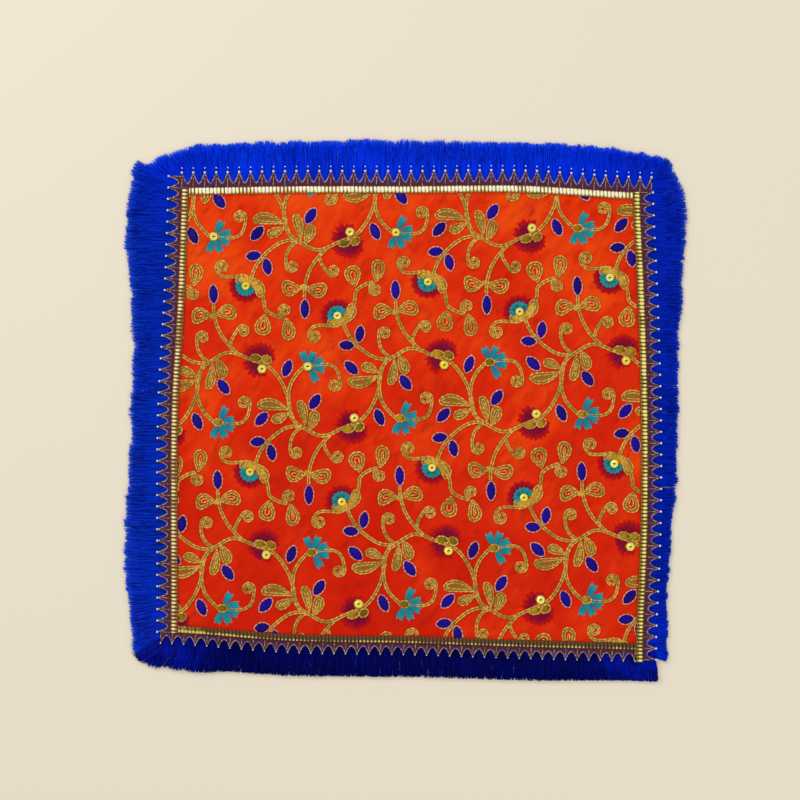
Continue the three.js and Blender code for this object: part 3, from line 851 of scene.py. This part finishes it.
sequin = bmesh.new()
loops = []
for radius, high in SEQUIN_RINGS:
    made = bmesh.ops.create_circle(sequin, segments=SEQUIN_SIDES, radius=radius * MM)["verts"]
    bmesh.ops.translate(sequin, verts=made, vec=(0, 0, high * MM))
    loops.append({e for v in made for e in v.link_edges})
for inner, outer in zip(loops, loops[1:]):
    bmesh.ops.bridge_loops(sequin, edges=[*inner, *outer])
bmesh.ops.recalc_face_normals(sequin, faces=sequin.faces)
bmesh.ops.solidify(sequin, geom=list(sequin.faces), thickness=SEQUIN_THICK)
bmesh.ops.recalc_face_normals(sequin, faces=sequin.faces)
sequin_mesh = as_mesh(sequin, "sequin")

foil = Finish("gold foil", Metallic=0.7, Roughness=0.25, Coat_Weight=0.4)
foil.paint(Base_Color=foil.mix(foil.attribute("lot"), srgb(252, 226, 40), srgb(255, 240, 120)))
tilts = random.Random(9)
sequin_spots = []
for middle in sequin_places:
    if outside(middle) < FIELD_EDGE - SEQUIN_RINGS[-1][0] * MM:
        lean_x, lean_y = (
            Matrix.Rotation(math.radians(tilts.uniform(-SEQUIN_LEAN, SEQUIN_LEAN)), 4, way) for way in "XY"
        )
        sequin_spots.append(Matrix.Translation(on_velvet(middle, SEQUIN_LIFT)) @ lean_x @ lean_y)
piece(repeated(sequin_mesh, sequin_spots, 10), "sequins", foil)

knot_thread = Finish("dark thread", Roughness=0.7)
knot_shade = knot_thread.cloud(0.5 * MM)
knot_thread.paint(Base_Color=knot_thread.mix(knot_shade, srgb(70, 60, 14), srgb(120, 104, 30)))
knot_size = Matrix.Translation((0, 0, SEQUIN_THICK / 2)) @ Matrix.Diagonal((KNOT_LONG, KNOT_WIDE, 1, 1))
knot_spots = [spot @ knot_size for spot in sequin_spots]
piece(repeated(lens(KNOT_HIGH, 0.5, (6, 6)), knot_spots, 11), "sequin_knots", knot_thread)

# -------- the braid
# A flat metallic ribbon with raised ribs across it, one length to an edge. It is sewn on through
# the velvet's hem and the lace's straight side. The far and near lengths stop at the ones beside
# them, and the right one runs on past the near corner.

BRAID_LOW = VELVET_THICK + SEAM_GAP
BRAID_HIGH = 1.2 * MM
RIB_PITCH = 2.3 * MM
RIB_STEPS = 6
BRAID_AROUND = 10
BRAID_RUN_ON = {"far": (-2.6, -2.6), "right": (2.2, 9.5), "near": (-2.6, -2.6), "left": (2.2, 2.2)}


def strip(edge, run_on, step, around, ring):
    """A closed body along an edge. ring gives its point as (d, z), for s and a place around it."""
    before, after = (x * MM for x in run_on)
    run = edge.length + before + after

    def shape(u, v):
        d, z = ring(u * run, round(v * around) % around)
        return Vector((*edge.place(u * run - before, d), z))

    bm = grid((round(run / step), around), shape)
    uv = bm.loops.layers.uv.active
    for face in bm.faces:
        for loop in face.loops:
            loop[uv].uv.x *= run / MM
    mend(bm)
    fill(bm)
    mend(bm)
    return bm


def braid_ring(s, i):
    turn = 2 * math.pi * i / BRAID_AROUND
    across, up = math.cos(turn), math.sin(turn)
    rib = abs(math.cos(math.pi * s / RIB_PITCH)) ** 0.7
    high = (0.5 + 0.5 * up) * (0.62 + 0.38 * rib) if up > 0 else 0.5 + 0.5 * up
    d = BRAID_HALF * math.copysign(abs(across) ** 0.55, across) * (0.94 + 0.06 * rib)
    return d, BRAID_LOW + BRAID_HIGH * high


def braid_finish(name, shine, crest_at, crest_wide, bright, middling, dark):
    """Bright ribs in a band along the ribbon, with middling gold and dark grooves beside it: the bright band
    is a painted highlight and the dark grooves are painted shade.
    """
    ribbon = Finish(name, Metallic=0.4, Roughness=0.4)
    rib = ribbon.wave(ribbon.uv("X") * (MM / RIB_PITCH) + 0.5)
    off_crest = ribbon.math("ABSOLUTE", ribbon.uv("Y") - crest_at)
    crest_highlight = 1 - ribbon.step(off_crest, 0.0, crest_wide * 1.6)
    worn = 0.4 * ribbon.step(ribbon.cloud(9 * MM), 0.42, 0.7)
    spots = rib * crest_highlight + 0.5 * ribbon.cloud(2.2 * MM) - worn
    # Painted light: the ribbon grows brighter along one axis, towards the light.
    if shine:
        way, least_at, most_at, more = shine
        along = (ribbon.axis(way) - least_at * MM) * (1 / ((most_at - least_at) * MM))
        spots = spots + more * ribbon.step(along, 0.0, 1.0)
    sides = ribbon.mix(ribbon.step(rib, 0.15, 0.7), dark, middling)
    ribbon.paint(Base_Color=ribbon.mix(ribbon.step(spots, 0.45, 0.9), sides, bright))
    ribbon.bump(ribbon.wave(ribbon.uv("X") * 2.6), 0.06 * MM, 0.6)
    return ribbon


# Where the bright ribs lie round the ribbon (0.25 is its top and 0 its outer side), half the width of their
# band, and the colours of the ribs, the gold beside them and the grooves. These colours are painted light:
# each side is lit as the light from the far left falls on it, the far side brightest and the near side
# darkest.
BRAID_LIT_COLOURS = {
    "far": (0.23, 0.10, srgb(255, 252, 208), srgb(186, 146, 66), srgb(120, 80, 34)),
    "left": (0.23, 0.08, srgb(255, 236, 156), srgb(152, 108, 48), srgb(84, 54, 20)),
    "right": (0.23, 0.07, srgb(252, 234, 130), srgb(146, 116, 24), srgb(70, 52, 4)),
    "near": (0.19, 0.05, srgb(226, 200, 84), srgb(96, 66, 16), srgb(46, 22, 4)),
}
# Painted light: the way in which a ribbon grows brighter towards the light: from, to and how much.
BRAID_PAINTED_SHINE = {
    "far": ("Y", 100, 120, 0.26),
    "right": ("Y", -130, 20, 0.2),
    "near": ("X", -50, -150, 0.34),
}
for name, edge in edges.items():
    shape = strip(edge, BRAID_RUN_ON[name], RIB_PITCH / RIB_STEPS, BRAID_AROUND, braid_ring)
    ribbon = braid_finish(f"gold ribbon {name}", BRAID_PAINTED_SHINE.get(name), *BRAID_LIT_COLOURS[name])
    piece(shape, f"braid_{name}_ribbon", ribbon, [f"braid_{name}"])

# -------- the lace
# A narrow maroon and purple tape that runs beside the braid, with a dull gold cord looped along its
# outer side: a round arch, then a point, once for each pitch. A silvery bead ends each point.

LACE_LOW = VELVET_THICK + SEAM_GAP
LACE_THICK = 0.7 * MM
LACE_PITCH = 7.1 * MM
LACE_STEPS = 14
LACE_RUN_ON = {"far": (2.0, 9.0), "right": (1.9, 8.0), "near": (-2.6, 8.0), "left": (1.9, 9.0)}
# How far the arches and the points reach, and how sharply the tape narrows to a point.
LACE_REACH = {
    "far": (4.4, 11.4, 1.5),
    "right": (4.4, 10.0, 2.2),
    "near": (4.0, 8.9, 2.0),
    "left": (4.0, 10.3, 2.0),
}
LACE_CORD = 0.82 * MM
POST = (0.0, 0.31, 0.62)  # where a post has its points, as shares of the way to the lace's point
BEAD = {"far": 1.8, "right": 1.7, "near": 1.0, "left": 1.6}
FAR_SECOND_BEAD = (2.8 * MM, 0.6)  # its place past the point, and its size as a share

tape = Finish("maroon tape", Roughness=0.7, Specular_IOR_Level=0.1)
warp = tape.wave(tape.uv("X") * 1.6)
tape_shade = tape.mix(tape.step(tape.cloud(3.5 * MM), 0.42, 0.6), srgb(78, 20, 56), srgb(54, 22, 92))
tape.paint(Base_Color=tape.mix(warp * 0.3, tape_shade, srgb(110, 74, 68)))
tape.bump(warp, 0.1 * MM, 0.7)
silver = Finish("silver beads", Metallic=0.5, Roughness=0.25, Base_Color=srgb(232, 234, 228))
silver.bump(silver.cloud(0.4 * MM), 0.03 * MM, 0.4)
lace_gold = Finish("dull gold cord", Metallic=0.3, Roughness=0.45)
lace_glint = lace_gold.step(lace_gold.cloud(1.6 * MM), 0.4, 0.62)
lace_shade = lace_gold.mix(lace_glint, srgb(112, 80, 62), srgb(192, 158, 112))
lace_lilac = lace_gold.step(lace_gold.cloud(7 * MM), 0.5, 0.7)
lace_gold.paint(Base_Color=lace_gold.mix(lace_lilac * 0.5, lace_shade, srgb(128, 92, 132)))

bead = bmesh.new()
bmesh.ops.create_icosphere(bead, subdivisions=1, radius=MM / 2)
bead_spots = []
seam, top = BRAID_HALF + SEAM_GAP, LACE_LOW + LACE_THICK
for name, edge in edges.items():
    before, after = (x * MM for x in LACE_RUN_ON[name])
    arch, point, sharp = LACE_REACH[name]
    run = edge.length + before + after
    arches = round(run / LACE_PITCH)

    def reach(at):
        """How far the looped side reaches: points at whole numbers of at, arches between them."""
        return (arch + (point - arch) * abs(2 * (at % 1.0) - 1) ** sharp) * MM

    def lace_ring(s, i):
        share, high = ((0, 0), (0, 1), (0.55, 1), (1, 1), (1, 0), (0.55, 0))[i]
        return seam + (reach(s * arches / run) - seam) * share, LACE_LOW + LACE_THICK * high

    shape = strip(edge, LACE_RUN_ON[name], run / arches / LACE_STEPS, 6, lace_ring)
    piece(shape, f"lace_{name}_tape", tape, [f"lace_{name}"])
    steps = [i / LACE_STEPS for i in range(arches * LACE_STEPS + 1)]
    looped = [edge.place(at * run / arches - before, reach(at)) for at in steps]
    runs = [([Vector((*p, top)) for p in looped], [1.0] * len(looped))]
    for i in range(arches + 1):
        s = i * run / arches - before
        post = [edge.place(s, seam + (point * MM - seam) * share) for share in POST]
        runs.append(([Vector((*p, top)) for p in post], [0.8] * len(post)))
        sizes = [(point * MM, BEAD[name])]
        if name == "far":
            sizes.append((point * MM + FAR_SECOND_BEAD[0], BEAD[name] * FAR_SECOND_BEAD[1]))
        for d, size in sizes:
            spot = Matrix.Translation((*edge.place(s, d), top + size * MM / 4))
            bead_spots.append(spot @ Matrix.Scale(size, 4))
    shape = tubes(runs, 4, LACE_CORD, LACE_CORD, CORD_TWIST)
    piece(shape, f"lace_{name}_cords", lace_gold, [f"lace_{name}"])
piece(repeated(as_mesh(bead, "bead"), bead_spots, 12), "lace_beads", silver, [])

# -------- the fringe
# A deep royal-blue fringe of fine silky strands, cut from a tape whose header is sewn beside the
# velvet's edge, under the lace. The strands fall in soft locks, fan out round the corners, and
# are paler at their cut ends.

STRANDS = 3800  # on each edge
CROWDING = 0.06  # how much closer the strands stand at the corners
LOCKS = 52  # the soft locks that they fall in
ROOT_IN = 3.3 * MM
LEAN_SHARE = 0.09
HEADER_RUN_ON = {"far": (6.5, 2.0), "right": (3.0, 4.5), "near": (10.4, 4.5), "left": (2.5, 2.5)}
LEAN = {"far": (62, 36), "right": (54, 16), "near": (4, 54), "left": (30, 26)}
# How far the fringe reaches outside the middle of the braid, at shares of the edge's length.
FRINGE_REACH = {
    "far": [(0.0, 28), (0.1, 29), (0.4, 30.5), (0.7, 29), (0.9, 28.5), (1.0, 28)],
    "right": [
        (0.0, 29), (0.04, 32), (0.1, 28.5), (0.2, 25.5), (0.35, 22), (0.6, 20), (0.75, 17), (0.86, 15.5),
        (1.0, 18),
    ],
    "near": [(0.0, 21), (0.3, 22.5), (0.86, 23.5), (0.95, 26), (0.98, 30), (1.0, 28)],
    "left": [(0.0, 28), (0.2, 30.5), (0.45, 27), (0.62, 27.5), (0.75, 31), (0.88, 35.5), (1.0, 35)],
}
LOCK_FALL = {"far": 1.3, "right": 1.2, "near": 0.25, "left": 1.6}  # how unevenly the locks end
LOCK_ROUND = {"far": 0.6, "right": 0.6, "near": 0.1, "left": 0.8}  # how much shorter their sides are
LOCK_DRAW = 0.1  # how far a lock's strands draw together at their ends
LOCK_TURN, STRAND_TURN = 2.5, 7  # how far a lock and a strand may turn aside, in degrees
STRAND_LENGTHS = (0.93, 1.03)
STRAND_BOW = 0.8 * MM
# Painted light: each side has its own colours as the light from the far left falls on it, the far side
# brightest and the near side darkest, and the face turns lighter or darker towards the corners.
FRINGE_LIT_COLOURS = {  # deep in the pile, its face, its cut ends, and its face by the corners
    "far": (srgb(0, 34, 190), srgb(0, 62, 246), srgb(24, 90, 250), srgb(0, 54, 232)),
    "left": (srgb(0, 26, 138), srgb(0, 52, 204), srgb(24, 84, 226), srgb(0, 48, 212)),
    "right": (srgb(0, 20, 144), srgb(0, 46, 204), srgb(20, 76, 216), srgb(0, 50, 224)),
    "near": (srgb(0, 2, 66), srgb(0, 8, 110), srgb(0, 6, 84), srgb(0, 24, 176)),
}
CORNER_FROM, CORNER_TO = 118 * MM, 152 * MM  # where the corners' painted light comes in
STRAND_THICK, STRAND_TIP = 0.76 * MM, 0.66  # and the share of that at the cut end
LACE_PAST = 13 * MM  # the strands keep low under the lace for this far from their roots
# Shares of a strand's length past the lace, its least height there, and what the top strands add.
PILE = [(0.0, 0.4, 1.25), (0.45, 0.4, 2.6), (1.0, 0.36, 0.9)]


def lock_at(edge, share):
    """The root of the fringe at a share of its tape, the way it lies and how long it is."""
    before, after = (x * MM for x in HEADER_RUN_ON[edge.name])
    start, end = LEAN[edge.name]
    rows = FRINGE_REACH[edge.name]
    i = next((k for k in range(1, len(rows)) if rows[k][0] > share), len(rows) - 1)
    (low_at, low), (high_at, high) = rows[i - 1], rows[i]
    reach = (low + (high - low) * smooth((share - low_at) / (high_at - low_at))) * MM
    lean = start * smooth(1 - share / LEAN_SHARE) - end * smooth(1 - (1 - share) / LEAN_SHARE)
    root = edge.place(-before + share * (edge.length + before + after), ROOT_IN)
    return root, turned(edge.out, lean), reach - ROOT_IN


def fringe_finish(name, along_y, deep, face, ends, corner):
    silk = Finish(name, Roughness=0.5, Specular_IOR_Level=0.04)
    fibres = silk.cloud(0.9 * MM, 2.0, silk.place((1, 16, 1) if along_y else (16, 1, 1)))
    # Painted light: the face changes colour towards the corners.
    from_middle = silk.math("ABSOLUTE", silk.axis("X" if along_y else "Y"))
    corner_light = silk.step(from_middle + 30 * MM * silk.cloud(20 * MM), CORNER_FROM, CORNER_TO)
    face = silk.mix(corner_light, face, corner)
    tint = silk.mix(silk.step(fibres + 0.35 * silk.cloud(16 * MM), 0.42, 0.84), deep, face)
    cut = silk.step(silk.uv("X") + 0.1 * fibres, 0.93, 1.1)
    silk.paint(Base_Color=silk.mix(cut, tint, ends))
    return silk


def strands(edge, chance):
    """Every strand's line, with its thickness at each point."""
    runs = []
    most = LOCK_FALL[edge.name] * MM
    locks = [(chance.uniform(-1, 1) * most, chance.uniform(-LOCK_TURN, LOCK_TURN)) for i in range(LOCKS)]
    for i in range(STRANDS):
        t = (i + 0.5) / STRANDS
        share = t - CROWDING * math.sin(2 * math.pi * t)
        lock = min(int(share * LOCKS), LOCKS - 1)
        fall, turn = locks[lock]
        root, way, length = lock_at(edge, share)
        middle, middle_way, _ = lock_at(edge, (lock + 0.5) / LOCKS)
        from_middle = share * LOCKS - lock - 0.5
        rounded = fall * (1 - 2 * abs(from_middle)) - LOCK_ROUND[edge.name] * MM * (2 * from_middle) ** 2
        length = length * chance.uniform(*STRAND_LENGTHS) + rounded
        aside = turn * (1 - 2 * abs(from_middle)) + chance.uniform(-STRAND_TURN, STRAND_TURN)
        end = root + turned(way, aside) * length
        end = end.lerp(middle + (end - root).dot(middle_way) * middle_way, LOCK_DRAW)
        side = Vector((-way.y, way.x)) * chance.uniform(-STRAND_BOW, STRAND_BOW)
        layer = chance.random()
        past = min(LACE_PAST / length, 0.6)
        stations = [(0.0, VELVET_THICK + 0.3 * MM), (2.0 * MM / length, VELVET_THICK + 0.25 * MM)]
        stations += [(past + (1 - past) * at, (low + add * layer) * MM) for at, low, add in PILE]
        points = [Vector((*(root.lerp(end, at) + side * math.sin(math.pi * at)), z)) for at, z in stations]
        runs.append((points, [1 + (STRAND_TIP - 1) * at for at, z in stations]))
    return runs


for i, (name, edge) in enumerate(edges.items()):
    silk = fringe_finish(f"blue silk {name}", name in ("far", "near"), *FRINGE_LIT_COLOURS[name])
    runs = strands(edge, random.Random(21 + i))
    shape = tubes(runs, 3, STRAND_THICK, STRAND_THICK)
    piece(shape, f"fringe_{name}_strands", silk, [f"fringe_{name}"])

# -------- camera, floor and light
# The cloth is seen from straight above on a plain pale floor, under a soft light from the far left.

VIEW_MIDDLE = Vector((-2.36, 6.24)) * MM
VIEW_WIDE = 496 * MM
LENS, SENSOR = 85.0, 36.0
FLOOR_HALF, FLOOR_HIGH = 3.0, -0.2 * MM

camera = added("camera", bpy.data.cameras.new("camera"))
camera.data.lens, camera.data.sensor_width = LENS, SENSOR
camera.data.clip_start, camera.data.clip_end = 0.01, 20
camera.location = (*VIEW_MIDDLE, VIEW_WIDE * LENS / SENSOR)
bpy.context.scene.camera = camera

floor_shape = bmesh.new()
bmesh.ops.create_grid(floor_shape, x_segments=1, y_segments=1, size=FLOOR_HALF)
bmesh.ops.translate(floor_shape, verts=floor_shape.verts, vec=(0, 0, FLOOR_HIGH))
floor = added("floor", as_mesh(floor_shape, "floor"))
cream = Finish("cream floor", Roughness=0.9, Specular_IOR_Level=0.2, Base_Color=srgb(239, 228, 206))
floor.data.materials.append(cream.material)

SOFTBOXES = [  # place, size, watts
    ((-0.95, 1.05, 0.85), 0.5, 8.4),
    ((0.9, -0.5, 1.2), 1.0, 3.5),
]
for i, (place, size, watts) in enumerate(SOFTBOXES):
    light = bpy.data.lights.new(f"softbox_{i}", "AREA")
    light.size, light.energy = size, watts
    lamp = added(f"softbox_{i}", light)
    lamp.location = place
    lamp.rotation_euler = (-Vector(place)).to_track_quat("-Z", "Y").to_euler()

world = bpy.data.worlds.new("pale studio")
world.use_nodes = True
sky = world.node_tree.nodes["Background"]
sky.inputs["Color"].default_value = (1, 1, 1, 1)
sky.inputs["Strength"].default_value = 0.7
bpy.context.scene.world = world
bpy.context.scene.view_settings.view_transform = "Standard"
